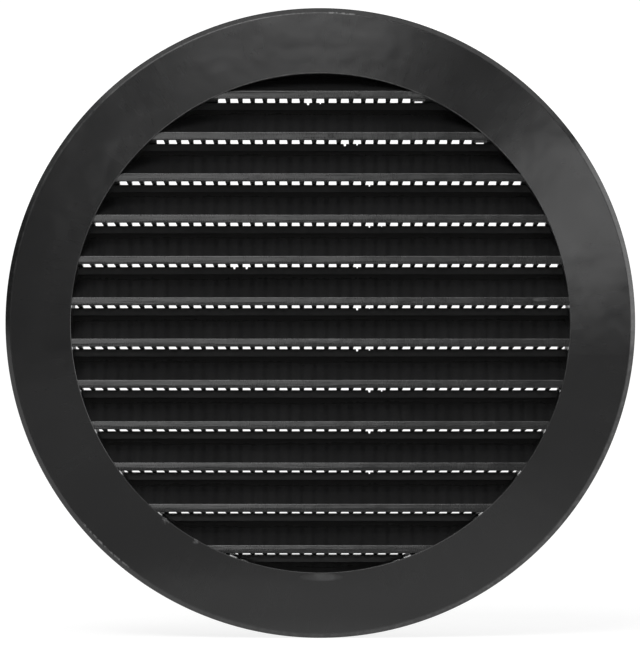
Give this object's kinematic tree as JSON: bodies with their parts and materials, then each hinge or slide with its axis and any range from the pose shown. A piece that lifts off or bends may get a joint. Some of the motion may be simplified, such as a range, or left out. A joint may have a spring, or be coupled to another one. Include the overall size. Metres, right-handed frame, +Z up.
{
  "type": "round vent cover",
  "caption": "Round louvred vent cover with a bevelled conical rim, sloped rain-shedding louvres, fine upright insect bars behind them and a plain collar that pushes into a duct.",
  "frame": {"origin": "on the vent's axis, in the plane of the wall that the back of the rim lies on", "axes": "+Y back along the collar into the duct, so the louvred front looks along -Y; +Z up; louvres along X"},
  "size_m": [0.184, 0.0265, 0.184],
  "materials": {
    "dark_plastic": "satin, as moulded, near black"
  },
  "bodies": {
    "root": {"vent_cover": "dark_plastic"}
  },
  "joints": []
}
